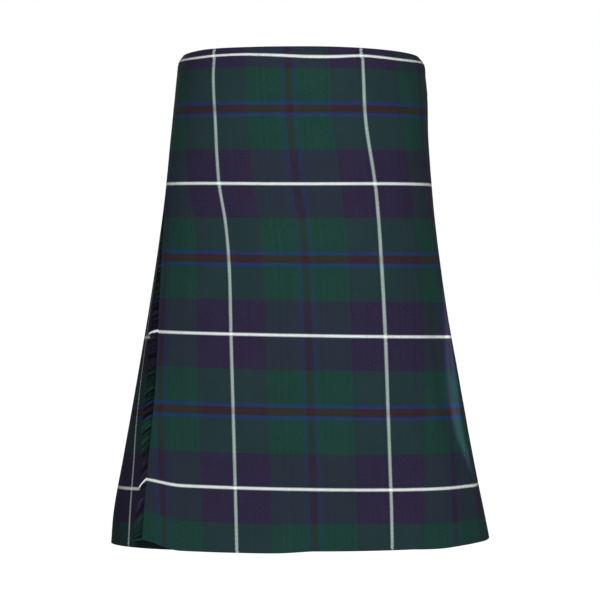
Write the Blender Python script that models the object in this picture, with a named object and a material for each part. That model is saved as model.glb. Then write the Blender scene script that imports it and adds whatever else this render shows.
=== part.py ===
# Scottish kilt, filled out as if worn, with nothing inside it.
#
# Metres, +Z up. The origin is the middle of the waist opening, at the
# waistband's mid height. The front faces -Y, the wearer's left is +X.
#
# The cloth is one length that winds round the body: under apron, pleats,
# outer apron. A place on it is given by
#   q      arc length round the body from the front centre, going first to the
#          wearer's right (-X), then round the back, then to the wearer's left
#   depth  how far inside the outer envelope it lies
#   level  the height that the place has at the front centre
import bisect
import math

import bmesh
import bpy

for old in list(bpy.data.objects):
    bpy.data.objects.remove(old, do_unlink=True)

# ---------------------------------------------------------------- dimensions
CLOTH = 0.0010          # thickness of the woven cloth
SEAM_GAP = 0.0003       # gap between pieces that are sewn edge to edge
RIM = 0.0070            # level of the waistband's top edge
SEAM = -0.0070          # level of the waistband's seam
HEM = -0.6030           # level of the hem
BAND = 0.0024           # waistband: cloth folded over its own seam allowance
PLEATS = 20             # knife pleats round the back
FRINGE = 0.0160         # reach of the drawn-out edge threads
RIM_RISE = 0.0090       # rise of the rim at the sides, twice this at the back
RIM_DIP = 0.0040        # how much narrower the waistband is at the sides
CORNER_LIFT = 0.0100    # rise of the outer apron's free hem corner
UNDER_END = (0.170, 0.205)   # under apron's free end past the front centre: top, hem

STRAP_WIDTH = 0.0240
STRAP_LEVEL = -0.0350
TAB_THICK = 0.0012
WIRE = 0.0015           # radius of the buckle's bar
BUCKLE_HALF = 0.0178    # half the buckle's height, to its bar's centre line

# The envelope's plan outline at each level: half widths to the wearer's right
# and left, depths to front and back, the depth at which each side is widest,
# and the roundness of each corner (2 is an ellipse, more is squarer).
SECTION_COLUMNS = ("level", "right", "left", "front", "back",
                   "right_y", "left_y", "n_right", "n_left", "n_back")
SECTIONS = (
    (0.007, .1535, .1500, .1160, .1120, .006, .026, 2.15, 2.15, 2.10),
    (-0.007, .1600, .1582, .1165, .1150, .008, .030, 2.25, 2.20, 2.10),
    (-0.024, .1621, .1597, .1178, .1175, .007, .030, 2.27, 2.22, 2.10),
    (-0.050, .1647, .1620, .1195, .1210, .006, .030, 2.30, 2.25, 2.10),
    (-0.100, .1699, .1629, .1235, .1310, .000, .027, 2.30, 2.30, 2.10),
    (-0.200, .1806, .1700, .1310, .1490, -.014, .017, 2.25, 2.35, 2.15),
    (-0.300, .1942, .1826, .1370, .1590, -.028, .008, 2.20, 2.35, 2.15),
    (-0.400, .2103, .1995, .1420, .1650, -.040, -.002, 2.20, 2.35, 2.15),
    (-0.500, .2275, .2171, .1460, .1700, -.049, -.011, 2.18, 2.35, 2.15),
    (-0.565, .2388, .2295, .1480, .1727, -.054, -.017, 2.24, 2.35, 2.15),
    (-0.603, .2414, .2366, .1490, .1740, -.058, -.020, 2.35, 2.35, 2.15),
)

# Where the cloth's own lines run, by level: the outer apron's fringed edge and
# the first pleat's fold edge, both measured from the front centre to the
# wearer's right; the apron's folded edge, measured to the wearer's left; the
# pitch from layer to layer in a pleat; and how deep a pleat is folded, as a
# part of the width that it shows.
LINE_COLUMNS = ("level", "edge", "first", "apron_fold", "pitch", "fold")
LINES = (
    (-0.007, .212, .245, .243, .00135, .88),
    (-0.100, .209, .252, .250, .00135, .88),
    (-0.200, .202, .262, .258, .00140, .86),
    (-0.300, .193, .272, .268, .00175, .80),
    (-0.400, .189, .283, .281, .00225, .74),
    (-0.500, .195, .293, .294, .00285, .68),
    (-0.603, .201, .303, .310, .00340, .64),
)

# The soft ridge down the outer apron near the wearer's left side, with the
# shallow trough in front of it: distance from the front centre, its height
# and the trough's depth.
RIDGE_COLUMNS = ("level", "at", "height", "trough")
RIDGE = (
    (-0.180, .200, .0000, .0000),
    (-0.280, .206, .0022, .0012),
    (-0.380, .214, .0036, .0024),
    (-0.460, .226, .0036, .0024),
    (-0.520, .240, .0020, .0012),
    (-0.603, .252, .0008, .0004),
)

LEVELS = (SEAM - SEAM_GAP, -0.100, -0.200, -0.300, -0.400, -0.500, HEM)


# ------------------------------------------------------------------ the form
def smooth(t):
    t = min(max(t, 0.0), 1.0)
    return t * t * (3.0 - 2.0 * t)


def table(rows, columns, level):
    """A smooth curve through a table's rows, read at a level."""
    zs = [row[0] for row in rows]
    z = min(max(level, zs[-1]), zs[0])
    i = 0
    while i < len(rows) - 2 and z < zs[i + 1]:
        i += 1
    h = zs[i + 1] - zs[i]
    t = (z - zs[i]) / h
    out = {columns[0]: z}
    for c in range(1, len(columns)):
        a, b = rows[i][c], rows[i + 1][c]
        d = (b - a) / h
        ma = mb = d
        if i > 0:
            ma = 0.5 * (d + (a - rows[i - 1][c]) / (zs[i] - zs[i - 1]))
        if i < len(rows) - 2:
            mb = 0.5 * (d + (rows[i + 2][c] - b) / (zs[i + 2] - zs[i + 1]))
        out[columns[c]] = ((2 * t ** 3 - 3 * t * t + 1) * a
                           + (t ** 3 - 2 * t * t + t) * h * ma
                           + (3 * t * t - 2 * t ** 3) * b
                           + (t ** 3 - t * t) * h * mb)
    return out


QUARTER_STEPS = 96
outlines = {}


def outline(level):
    """The envelope's plan at a level, with its running length."""
    key = round(level, 6)
    if key in outlines:
        return outlines[key]
    row = table(SECTIONS, SECTION_COLUMNS, level)

    def quarter(half, depth, widest, n):
        points = []
        for k in range(QUARTER_STEPS + 1):
            a = 0.5 * math.pi * k / QUARTER_STEPS
            points.append((half * math.sin(a) ** (2.0 / n),
                           widest + (depth - widest) * max(math.cos(a), 0.0) ** (2.0 / n)))
        return points

    fr = quarter(row["right"], -row["front"], row["right_y"], row["n_right"])
    br = quarter(row["right"], row["back"], row["right_y"], row["n_back"])
    bl = quarter(row["left"], row["back"], row["left_y"], row["n_back"])
    fl = quarter(row["left"], -row["front"], row["left_y"], row["n_left"])
    points = [(-x, y) for x, y in fr]
    points += [(-x, y) for x, y in reversed(br)][1:]
    points += [(x, y) for x, y in bl][1:]
    points += [(x, y) for x, y in reversed(fl)][1:]
    run = [0.0]
    for a, b in zip(points, points[1:]):
        run.append(run[-1] + math.hypot(b[0] - a[0], b[1] - a[1]))
    outlines[key] = (points, run)
    return outlines[key]


def girth(level):
    return outline(level)[1][-1]


def plan(q, level):
    points, run = outline(level)
    q = q % run[-1]
    i = min(max(bisect.bisect_right(run, q) - 1, 0), len(points) - 2)
    t = (q - run[i]) / (run[i + 1] - run[i])
    return (points[i][0] + (points[i + 1][0] - points[i][0]) * t,
            points[i][1] + (points[i + 1][1] - points[i][1]) * t)


def rise(q, level):
    """How far a level lies above its height at the front centre."""
    turn = 2.0 * math.pi * (q % girth(level)) / girth(level)
    up = RIM_RISE * (1.0 - math.cos(turn)) * (1.0 - smooth((-level - 0.05) / 0.5))
    if level > SEAM:
        up -= RIM_DIP * math.sin(turn) ** 2 * (level - SEAM) / (RIM - SEAM)
    return up


def place(q, depth, level):
    x, y = plan(q, level)
    x0, y0 = plan(q - 0.003, level)
    x1, y1 = plan(q + 0.003, level)
    run = math.hypot(x1 - x0, y1 - y0)
    return (x + (y1 - y0) / run * depth, y - (x1 - x0) / run * depth,
            level + rise(q, level))


def lines(level):
    row = table(LINES, LINE_COLUMNS, level)
    row["apron_q"] = girth(level) - row["apron_fold"]
    row["width"] = (row["apron_q"] - row["first"]) / PLEATS
    row["deep"] = row["fold"] * row["width"]
    row["lean"] = 2.0 * row["pitch"] / row["width"]
    return row


# ----------------------------------------------------------- solids from form
def offsets(path, half):
    """Both faces of a strip whose middle line is a path in a plane. half is
    half its thickness, one value or one for each point."""
    halves = half if isinstance(half, list) else [half] * len(path)
    left, right = [], []
    for i, (u, v) in enumerate(path):
        a = path[max(i - 1, 0)]
        b = path[min(i + 1, len(path) - 1)]
        d0 = (u - a[0], v - a[1])
        d1 = (b[0] - u, b[1] - v)
        if i == 0:
            d0 = d1
        if i == len(path) - 1:
            d1 = d0
        l0, l1 = math.hypot(*d0), math.hypot(*d1)
        n0 = (-d0[1] / l0, d0[0] / l0)
        n1 = (-d1[1] / l1, d1[0] / l1)
        m = (n0[0] + n1[0], n0[1] + n1[1])
        k = halves[i] * 2.0 / max(m[0] ** 2 + m[1] ** 2, 0.6)
        left.append((u + m[0] * k, v + m[1] * k))
        right.append((u - m[0] * k, v - m[1] * k))
    return left, right


def material(name, colour, rough, metal=0.0):
    mat = bpy.data.materials.new(name)
    mat.use_nodes = True
    shader = mat.node_tree.nodes["Principled BSDF"]
    shader.inputs["Base Color"].default_value = (*colour, 1.0)
    shader.inputs["Roughness"].default_value = rough
    shader.inputs["Metallic"].default_value = metal
    return mat


root = bpy.data.objects.new("kilt", None)
bpy.context.scene.collection.objects.link(root)


def solid(name, points, faces, mat):
    mesh = bpy.data.meshes.new(name)
    mesh.from_pydata(points, [], faces)
    bm = bmesh.new()
    bm.from_mesh(mesh)
    bmesh.ops.recalc_face_normals(bm, faces=bm.faces)
    bm.to_mesh(mesh)
    bm.free()
    mesh.materials.append(mat)
    obj = bpy.data.objects.new(name, mesh)
    bpy.context.scene.collection.objects.link(obj)
    obj.parent = root
    return obj


def wall(name, path_at, mat, half=CLOTH / 2, levels=LEVELS, lift=None):
    """A cloth wall: path_at(level) gives its middle line as (q, depth)."""
    points, faces = [], []
    paths = [path_at(level) for level in levels]
    count = len(paths[0])
    for level, path in zip(levels, paths):
        for side in offsets(path, half):
            for q, depth in side:
                x, y, z = place(q, depth, level)
                if lift:
                    z += lift(q, level)
                points.append((x, y, z))
    ring = 2 * count

    def at(k, side, i):
        return k * ring + side * count + i

    for k in range(len(levels) - 1):
        for i in range(count - 1):
            ahead = paths[k][i][0] < paths[k][i + 1][0]
            for side in (0, 1):
                a, b = at(k, side, i), at(k, side, i + 1)
                c, d = at(k + 1, side, i + 1), at(k + 1, side, i)
                faces += [(a, b, c), (a, c, d)] if ahead else [(a, b, d), (b, c, d)]
        for i in (0, count - 1):
            faces.append((at(k, 0, i), at(k, 1, i), at(k + 1, 1, i)))
            faces.append((at(k, 0, i), at(k + 1, 1, i), at(k + 1, 0, i)))
    for k in (0, len(levels) - 1):
        for i in range(count - 1):
            faces.append((at(k, 0, i), at(k, 0, i + 1), at(k, 1, i + 1)))
            faces.append((at(k, 0, i), at(k, 1, i + 1), at(k, 1, i)))
    return solid(name, points, faces, mat)


def spread(a, b, count):
    return [a + (b - a) * k / (count - 1) for k in range(count)]


# ------------------------------------------------------------------ the cloth
def under_depth(q, row):
    """Middle line of the under apron: it lies free behind the outer apron,
    close under its fringed edge, and dives below the first pleat."""
    edge, first, width = row["edge"], row["first"], row["width"]
    inside = 0.0042 + 0.0016 * smooth((-row["level"] - 0.05) / 0.4)
    close = 0.0030 - 0.0004 * smooth((-row["level"] - 0.02) / 0.1)
    depth = inside + (close - inside) * smooth((q - (edge - 0.09)) / 0.075)
    start = first - width
    if q > start:
        depth += (2.0 * row["pitch"] + CLOTH / 2 - depth) * smooth((q - start) / width)
    return depth


def under_path(level):
    row = lines(level)
    share = (level - LEVELS[0]) / (HEM - LEVELS[0])
    end = -(UNDER_END[0] + (UNDER_END[1] - UNDER_END[0]) * share)
    path = [(q, under_depth(q, row)) for q in spread(end, row["first"], 25)]
    base = 2.0 * row["pitch"] + CLOTH / 2
    for part in (0.5, 1.0):
        path.append((row["first"] + row["deep"] * part,
                     base + row["lean"] * row["deep"] * part))
    return path


def pleat_path(level):
    """Knife pleats: each shown face laps over the end of the one before it,
    its fold edge towards the wearer's right."""
    row = lines(level)
    pitch, deep, width, lean = row["pitch"], row["deep"], row["width"], row["lean"]
    path = []

    def add(q0, along, layer):
        path.append((q0 + along, CLOTH / 2 + layer * pitch + lean * along))

    for k in range(PLEATS):
        q0 = row["first"] + k * width
        if k > 0:
            add(q0, 0.5 * deep, 2.0)
            add(q0, deep, 2.0)
        add(q0, deep, 1.0)
        add(q0, 0.5 * deep, 1.0)
        add(q0, 0.6 * pitch, 1.0)
        add(q0, 0.0, 0.5)
        add(q0, 0.6 * pitch, 0.0)
        add(q0, 0.5 * deep, 0.0)
        add(q0, deep, 0.0)
        if k < PLEATS - 1:
            add(q0, width, 0.0)
    last = row["apron_q"]
    for part in (0.0, 0.5, 1.0):
        add(last, part * deep, 2.0)
    return path


def ridge(q, level):
    row = table(RIDGE, RIDGE_COLUMNS, level)
    from_centre = girth(level) - q
    top = math.exp(-((from_centre - row["at"]) / 0.013) ** 2)
    low = math.exp(-((from_centre - row["at"] + 0.030) / 0.015) ** 2)
    return row["height"] * top - row["trough"] * low


def apron_path(level):
    row = lines(level)
    pitch, deep, q0 = row["pitch"], row["deep"], row["apron_q"]
    path = [(q0 + deep, CLOTH / 2 + pitch), (q0 + 0.5 * deep, CLOTH / 2 + pitch),
            (q0 + 0.6 * pitch, CLOTH / 2 + pitch), (q0, CLOTH / 2 + 0.5 * pitch),
            (q0 + 0.6 * pitch, CLOTH / 2), (q0 + 0.5 * deep, CLOTH / 2)]
    for q in spread(q0 + deep, girth(level) + row["edge"], 32):
        path.append((q, CLOTH / 2 - ridge(q, level)))
    return path


def corner_lift(q, level):
    """The free corner of the outer apron stands a little off the floor line."""
    out = smooth((q - girth(level) - 0.148) / 0.052)
    return CORNER_LIFT * out * smooth((-level - 0.45) / 0.153)


def fringe_path(level):
    row = lines(level)
    start = girth(level) + row["edge"] + SEAM_GAP
    return [(start + FRINGE * part, CLOTH / 2 + 0.0003 * part) for part in (0.0, 0.5, 1.0)]


navy = (0.022, 0.024, 0.050)
green = (0.014, 0.040, 0.034)
wall("under_apron", under_path, material("tartan_under", navy, 0.85))
wall("pleated_back", pleat_path, material("tartan_pleats", green, 0.85))
wall("outer_apron", apron_path, material("tartan_apron", navy, 0.85), lift=corner_lift)
wall("apron_fringe", fringe_path, material("fringe_threads", green, 0.90), lift=corner_lift)


def band_depth(q):
    """Outer face of the waistband: under the outer apron's end it lies one
    band further in."""
    edge = LINES[0][1]
    return 0.0031 * (1.0 - smooth((q - (edge + 0.014)) / 0.030))


def waistband():
    """One folded strip, wound once round and on under the outer apron."""
    length = girth(SEAM)
    stations = spread(-UNDER_END[0], length + LINES[0][1], 76)
    low, high = SEAM, RIM
    profile = ((0.0, low), (0.0, high - 0.0026), (0.0007, high),
               (BAND - 0.0007, high), (BAND, high - 0.0026), (BAND, low))
    points, faces = [], []
    for q in stations:
        for depth, level in profile:
            share = q / length
            points.append(place(share * girth(level), band_depth(q) + depth, level))
    n = len(profile)
    for i in range(len(stations) - 1):
        for j in range(n):
            a, b = i * n + j, i * n + (j + 1) % n
            faces += [(a, b, b + n), (a, b + n, a + n)]
    end = (len(stations) - 1) * n
    faces += [tuple(range(n)), tuple(range(end, end + n))]
    solid("waistband", points, faces, material("tartan_band", navy, 0.85))


waistband()


# --------------------------------------------------------------- the fastenings
# Each is laid out flat and then put on the body: a runs from the apron's edge
# towards the back, b is up, h stands out from the envelope.
OUTER_BAR = (0.0450, 0.0044)
HEEL_BAR = (0.0730, 0.0035)
SLOT = (0.0580, 0.0725)
STRAP_COLUMNS = ("a", "h", "thickness")      # its sewn end is pared thin
STRAP_PATH = (
    (0.0000, 0.0005, 0.0008), (0.0110, 0.0005, 0.0008), (0.0200, 0.0008, 0.0010),
    (0.0330, 0.0015, 0.0018), (0.0470, 0.0017, 0.0020), (0.0520, 0.0020, 0.0020),
    (0.0580, 0.0038, 0.0020), (0.0655, 0.0062, 0.0020), (0.0725, 0.0078, 0.0020),
    (0.0765, 0.0077, 0.0020), (0.0830, 0.0063, 0.0020), (0.0890, 0.0049, 0.0020),
    (0.0990, 0.0048, 0.0020), (0.1100, 0.0047, 0.0020), (0.1180, 0.0024, 0.0020),
    (0.1280, 0.0018, 0.0020), (0.1350, 0.0018, 0.0020),
)
TAB_END = 0.1060


def laid_on(side):
    if side == "right":
        start, sign = LINES[0][1] + FRINGE + 0.0092, 1.0
    else:
        start, sign = girth(STRAP_LEVEL) - lines(STRAP_LEVEL)["apron_fold"] - 0.0006, -1.0

    def put(a, b, h):
        level = STRAP_LEVEL + b
        q = (start + sign * a) / girth(STRAP_LEVEL)
        if side == "left":
            drop = lines(level)["apron_q"] / girth(level) \
                - lines(STRAP_LEVEL)["apron_q"] / girth(STRAP_LEVEL)
            q += drop * max(1.0 - a / 0.03, 0.0)
        return place(q * girth(level), -h, level)
    return put


def strip(name, path, half, widths, missing, mat, put):
    """A bent strip; half is half its thickness, widths(a) gives its edges
    across, and the middle run of the segments in missing is cut out."""
    top, bottom = offsets(path, half)
    rows = [widths(p[0]) for p in path]
    m = len(rows[0])
    points = []
    for side in (top, bottom):
        for (a, h), row in zip(side, rows):
            points += [put(a, b, h) for b in row]
    layer = len(path) * m

    def at(s, i, j):
        return s * layer + i * m + j

    def there(i, j):
        return (0 <= i < len(path) - 1 and 0 <= j < m - 1
                and not (i in missing and j == m // 2 - 1))

    faces = []
    for i in range(len(path) - 1):
        for j in range(m - 1):
            if not there(i, j):
                continue
            for s in (0, 1):
                faces += [(at(s, i, j), at(s, i, j + 1), at(s, i + 1, j + 1)),
                          (at(s, i, j), at(s, i + 1, j + 1), at(s, i + 1, j))]
            for (di, dj), (p, r) in (((-1, 0), ((i, j), (i, j + 1))),
                                     ((1, 0), ((i + 1, j), (i + 1, j + 1))),
                                     ((0, -1), ((i, j), (i + 1, j))),
                                     ((0, 1), ((i, j + 1), (i + 1, j + 1)))):
                if not there(i + di, j + dj):
                    faces += [(at(0, *p), at(0, *r), at(1, *r)),
                              (at(0, *p), at(1, *r), at(1, *p))]
    return solid(name, points, faces, mat)


def ring_bar(name, mat, put):
    """The buckle's frame: one round bar bent into a rounded oblong."""
    (a0, h0), (a1, h1) = OUTER_BAR, HEEL_BAR
    corner = 0.0045
    path = []
    for ca, cb, turn in ((a1 - corner, BUCKLE_HALF - corner, 0.0),
                         (a0 + corner, BUCKLE_HALF - corner, 90.0),
                         (a0 + corner, -BUCKLE_HALF + corner, 180.0),
                         (a1 - corner, -BUCKLE_HALF + corner, 270.0)):
        for step in (0.0, 30.0, 60.0, 90.0):
            w = math.radians(turn + step)
            path.append((ca + corner * math.cos(w), cb + corner * math.sin(w)))
    points, faces = [], []
    sides = 8
    n = len(path)
    for i, (a, b) in enumerate(path):
        p, r = path[i - 1], path[(i + 1) % n]
        ta, tb = r[0] - p[0], r[1] - p[1]
        run = math.hypot(ta, tb)
        oa, ob = tb / run, -ta / run
        h = h0 + (h1 - h0) * (a - a0) / (a1 - a0)
        for k in range(sides):
            w = 2.0 * math.pi * (k + 0.5) / sides
            points.append(put(a + oa * WIRE * math.cos(w), b + ob * WIRE * math.cos(w),
                              h + WIRE * math.sin(w)))
    for i in range(n):
        for k in range(sides):
            a, b = i * sides + k, i * sides + (k + 1) % sides
            c, d = (i + 1) % n * sides + (k + 1) % sides, (i + 1) % n * sides + k
            faces += [(a, b, c), (a, c, d)]
    return solid(name, points, faces, mat)


def arc(centre, radius, start, stop, step):
    out, w = [], start
    while (w - stop) * step <= 1e-9:
        out.append((centre[0] + radius * math.cos(math.radians(w)),
                    centre[1] + radius * math.sin(math.radians(w))))
        w += step
    return out


def fastening(side):
    put = laid_on(side)
    black = material("leather_" + side, (0.012, 0.011, 0.011), 0.45)
    tab_leather = material("tab_leather_" + side, (0.012, 0.011, 0.011), 0.45)
    loop_leather = material("keeper_leather_" + side, (0.012, 0.011, 0.011), 0.45)
    steel = material("buckle_metal_" + side, (0.62, 0.61, 0.58), 0.25, 1.0)
    pin_steel = material("prong_metal_" + side, (0.62, 0.61, 0.58), 0.25, 1.0)
    half = STRAP_WIDTH / 2

    def strap_edges(a):
        k = 1.0 if a < 0.119 else 1.0 - 0.72 * smooth((a - 0.119) / 0.016) ** 1.3
        return (-half * k, -0.0018 * k, 0.0018 * k, half * k)

    gone = {i for i in range(len(STRAP_PATH) - 1)
            if SLOT[0] - 1e-6 <= STRAP_PATH[i][0] and STRAP_PATH[i + 1][0] <= SLOT[1] + 1e-6}
    strip("strap_" + side, [(a, h) for a, h, t in STRAP_PATH],
          [0.5 * t for a, h, t in STRAP_PATH], strap_edges, gone, black, put)

    loop = WIRE + 0.0003 + TAB_THICK / 2
    low, lid = 0.0011, 0.00275
    around_bar = arc(HEEL_BAR, loop, -90.0, -270.0, -30.0)
    tab = [(TAB_END, low), (0.0900, low)] + around_bar
    tab += [(0.0800, 0.0046), (0.0860, lid), (0.0960, lid), (TAB_END, lid)]
    cut = set(range(1, 2 + len(around_bar)))
    strip("tab_" + side, tab, TAB_THICK / 2, lambda a: (-half, -0.0020, 0.0020, half),
          cut, tab_leather, put)

    ring_bar("buckle_" + side, steel, put)

    pin = arc(HEEL_BAR, WIRE + 0.0003 + 0.0005, -60.0, -270.0, -30.0)
    pin += [(0.0600, 0.0062), (0.0425, OUTER_BAR[1] + WIRE + 0.0003 + 0.0005)]

    def pin_edges(a):
        k = 0.0006 if a < 0.044 else 0.0012
        return (-k, k)
    strip("prong_" + side, pin, 0.0005, pin_edges, set(), pin_steel, put)

    # the keeper: a leather staple over strap and tab, its feet sewn down
    top = 0.0048 + STRAP_PATH[-1][2] / 2 + 0.0003 + TAB_THICK / 2
    foot = half + 0.0003 + TAB_THICK / 2
    path = [(-foot, 0.0006), (-foot, top - 0.0008), (-foot + 0.0008, top),
            (0.0, top), (foot - 0.0008, top), (foot, top - 0.0008), (foot, 0.0006)]
    over, inside = offsets(path, TAB_THICK / 2)
    points, faces = [], []
    for a in (0.0925, 0.1000):
        for b, h in over + list(reversed(inside)):
            points.append(put(a, b, h))
    n = 2 * len(path)
    for k in range(n):
        faces += [(k, (k + 1) % n, n + (k + 1) % n), (k, n + (k + 1) % n, n + k)]
    for s in (0, n):
        for k in range(len(path) - 1):
            a, b, c, d = s + k, s + k + 1, s + n - 2 - k, s + n - 1 - k
            faces += [(a, b, c), (a, c, d)]
    solid("keeper_" + side, points, faces, loop_leather)


for which in ("right", "left"):
    fastening(which)
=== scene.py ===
"""A tartan kilt, filled out as worn: the looks on the CAD frame.

Metres, +Z up, the front faces -Y, the wearer's left is +X. The form functions
are those of the CAD source, so each cloth shell lies where its solid does.
"""
import bisect
import functools
import math
import random

import bmesh
import bpy
import numpy as np
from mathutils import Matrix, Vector, noise


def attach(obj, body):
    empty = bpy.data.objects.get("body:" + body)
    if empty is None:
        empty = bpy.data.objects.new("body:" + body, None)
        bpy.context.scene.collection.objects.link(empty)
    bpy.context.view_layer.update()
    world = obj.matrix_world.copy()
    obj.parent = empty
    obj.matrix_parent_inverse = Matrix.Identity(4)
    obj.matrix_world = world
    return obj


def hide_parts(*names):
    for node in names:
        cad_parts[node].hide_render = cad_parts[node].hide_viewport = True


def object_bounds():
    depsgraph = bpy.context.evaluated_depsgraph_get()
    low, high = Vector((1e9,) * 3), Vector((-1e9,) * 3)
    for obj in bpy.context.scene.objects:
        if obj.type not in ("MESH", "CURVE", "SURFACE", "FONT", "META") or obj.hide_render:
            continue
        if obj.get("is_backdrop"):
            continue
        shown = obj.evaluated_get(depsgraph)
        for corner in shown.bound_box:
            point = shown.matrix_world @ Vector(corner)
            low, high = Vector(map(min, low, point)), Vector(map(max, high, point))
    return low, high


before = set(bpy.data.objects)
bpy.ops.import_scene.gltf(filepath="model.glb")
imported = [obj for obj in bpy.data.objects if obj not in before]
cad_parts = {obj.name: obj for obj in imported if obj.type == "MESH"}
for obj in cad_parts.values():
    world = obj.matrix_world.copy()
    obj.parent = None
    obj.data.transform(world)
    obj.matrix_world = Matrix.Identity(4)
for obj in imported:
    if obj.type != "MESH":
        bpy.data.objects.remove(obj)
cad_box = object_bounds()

RNG = random.Random(11)

# ---------------------------------------------------------------- dimensions
CLOTH = 0.0010
SEAM_GAP = 0.0003
RIM = 0.0070
SEAM = -0.0070
HEM = -0.6030
BAND = 0.0024
PLEATS = 20
FRINGE = 0.0160
RIM_RISE = 0.0090
RIM_DIP = 0.0040
CORNER_LIFT = 0.0100
UNDER_END = (0.170, 0.205)
STRAP_WIDTH = 0.0240
STRAP_LEVEL = -0.0350
TAB_THICK = 0.0012
WIRE = 0.0015
BUCKLE_HALF = 0.0178

SECTION_COLUMNS = ("level", "right", "left", "front", "back",
                   "right_y", "left_y", "n_right", "n_left", "n_back")
SECTIONS = (
    (0.007, .1535, .1500, .1160, .1120, .006, .026, 2.15, 2.15, 2.10),
    (-0.007, .1600, .1582, .1165, .1150, .008, .030, 2.25, 2.20, 2.10),
    (-0.024, .1621, .1597, .1178, .1175, .007, .030, 2.27, 2.22, 2.10),
    (-0.050, .1647, .1620, .1195, .1210, .006, .030, 2.30, 2.25, 2.10),
    (-0.100, .1699, .1629, .1235, .1310, .000, .027, 2.30, 2.30, 2.10),
    (-0.200, .1806, .1700, .1310, .1490, -.014, .017, 2.25, 2.35, 2.15),
    (-0.300, .1942, .1826, .1370, .1590, -.028, .008, 2.20, 2.35, 2.15),
    (-0.400, .2103, .1995, .1420, .1650, -.040, -.002, 2.20, 2.35, 2.15),
    (-0.500, .2275, .2171, .1460, .1700, -.049, -.011, 2.18, 2.35, 2.15),
    (-0.565, .2388, .2295, .1480, .1727, -.054, -.017, 2.24, 2.35, 2.15),
    (-0.603, .2414, .2366, .1490, .1740, -.058, -.020, 2.35, 2.35, 2.15),
)
LINE_COLUMNS = ("level", "edge", "first", "apron_fold", "pitch", "fold")
LINES = (
    (-0.007, .212, .245, .243, .00135, .88),
    (-0.100, .209, .252, .250, .00135, .88),
    (-0.200, .202, .262, .258, .00140, .86),
    (-0.300, .193, .272, .268, .00175, .80),
    (-0.400, .189, .283, .281, .00225, .74),
    (-0.500, .1945, .293, .294, .00285, .68),
    (-0.603, .1990, .303, .310, .00340, .64),
)
RIDGE_COLUMNS = ("level", "at", "height", "trough")
RIDGE = (
    (-0.180, .200, .0000, .0000),
    (-0.280, .206, .0022, .0012),
    (-0.380, .214, .0036, .0024),
    (-0.460, .226, .0036, .0024),
    (-0.520, .240, .0020, .0012),
    (-0.603, .252, .0008, .0004),
)

# The tartan. Its repeat is SETT_U across and SETT_V down. The white line is
# the middle of one half repeat, the dark line of the other. Across the outer
# apron the pattern's own lines wander a little: where the white line to the
# wearer's right, the dark one and the white one to the left run, by level, and
# the dark ones further out on both sides, and the end of the navy on the left.
SETT_U, SETT_V = 0.1870, 0.1828
STRIPE_COLUMNS = ("level", "dark_right", "white_right", "dark", "white_left", "navy_left", "dark_left")
STRIPE_AT = (-1.0, 0.0, 1.0, 2.0, 2.4558, 3.0)      # in half repeats
STRIPES = (
    (-0.007, -.2240, -.1134, -.0180, .0745, .1245, .1800),
    (-0.024, -.2250, -.1146, -.0178, .0752, .1247, .1805),
    (-0.082, -.2200, -.1106, -.0156, .0776, .1320, .1830),
    (-0.162, -.2050, -.1040, -.0078, .0898, .1450, .1940),
    (-0.207, -.1890, -.0955, -.0014, .0940, .1508, .2000),
    (-0.255, -.1850, -.0904, .0031, .0968, .1571, .2050),
    (-0.343, -.1838, -.0872, .0061, .1009, .1580, .2070),
    (-0.434, -.1790, -.0842, .0091, .1036, .1532, .2020),
    (-0.510, -.1748, -.0819, .0117, .1060, .1505, .1975),
    (-0.550, -.1718, -.0807, .0128, .1072, .1494, .1948),
    (-0.603, -.1684, -.0792, .0142, .1080, .1480, .1938),
)
# How the cross lines tilt over the apron: v = -level + shift + slope s + bend s^2
TILT_COLUMNS = ("level", "shift", "slope", "bend")
TILT = (
    (-0.120, .0000, .0000, .000),
    (-0.190, .0000, -.0010, .000),
    (-0.343, -.0002, -.0175, -.037),
    (-0.440, -.0006, -.0175, -.018),
    (-0.528, -.0013, -.0175, .000),
    (-0.603, -.0013, -.0175, .000),
)
WHITE_LEVEL = -0.1613
# The waistband's seam is not quite straight, nor is the hem: rise, by the
# distance from the front centre to the wearer's left.
SEAM_WAVE = ((-.215, .0), (-.150, .0002), (-.132, .0008), (-.113, .0016), (-.075, .0022),
             (-.029, .0006), (.012, -.0012), (.043, -.0008), (.074, .0009), (.099, .0),
             (.130, -.0015), (.200, -.0008), (.240, .0))
RIM_WAVE = ((-.215, .0), (-.165, .0007), (-.139, .0013), (-.113, .0012), (-.075, .0005), (-.020, .0))
HEM_WAVE = ((-.190, .0), (-.150, -.0004), (-.075, -.0014), (-.025, -.0014), (.012, .0008),
            (.060, .0018), (.110, .0018), (.170, -.0001), (.205, .0012), (.240, .0020))


# ------------------------------------------------------------------ the form
def smooth(t):
    t = min(max(t, 0.0), 1.0)
    return t * t * (3.0 - 2.0 * t)


def table(rows, columns, level):
    zs = [row[0] for row in rows]
    z = min(max(level, zs[-1]), zs[0])
    i = 0
    while i < len(rows) - 2 and z < zs[i + 1]:
        i += 1
    h = zs[i + 1] - zs[i]
    t = (z - zs[i]) / h
    out = {columns[0]: z}
    for c in range(1, len(columns)):
        a, b = rows[i][c], rows[i + 1][c]
        d = (b - a) / h
        ma = mb = d
        if i > 0:
            ma = 0.5 * (d + (a - rows[i - 1][c]) / (zs[i] - zs[i - 1]))
        if i < len(rows) - 2:
            mb = 0.5 * (d + (rows[i + 2][c] - b) / (zs[i + 2] - zs[i + 1]))
        out[columns[c]] = ((2 * t ** 3 - 3 * t * t + 1) * a
                           + (t ** 3 - 2 * t * t + t) * h * ma
                           + (3 * t * t - 2 * t ** 3) * b
                           + (t ** 3 - t * t) * h * mb)
    return out


QUARTER_STEPS = 96
outlines = {}


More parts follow.
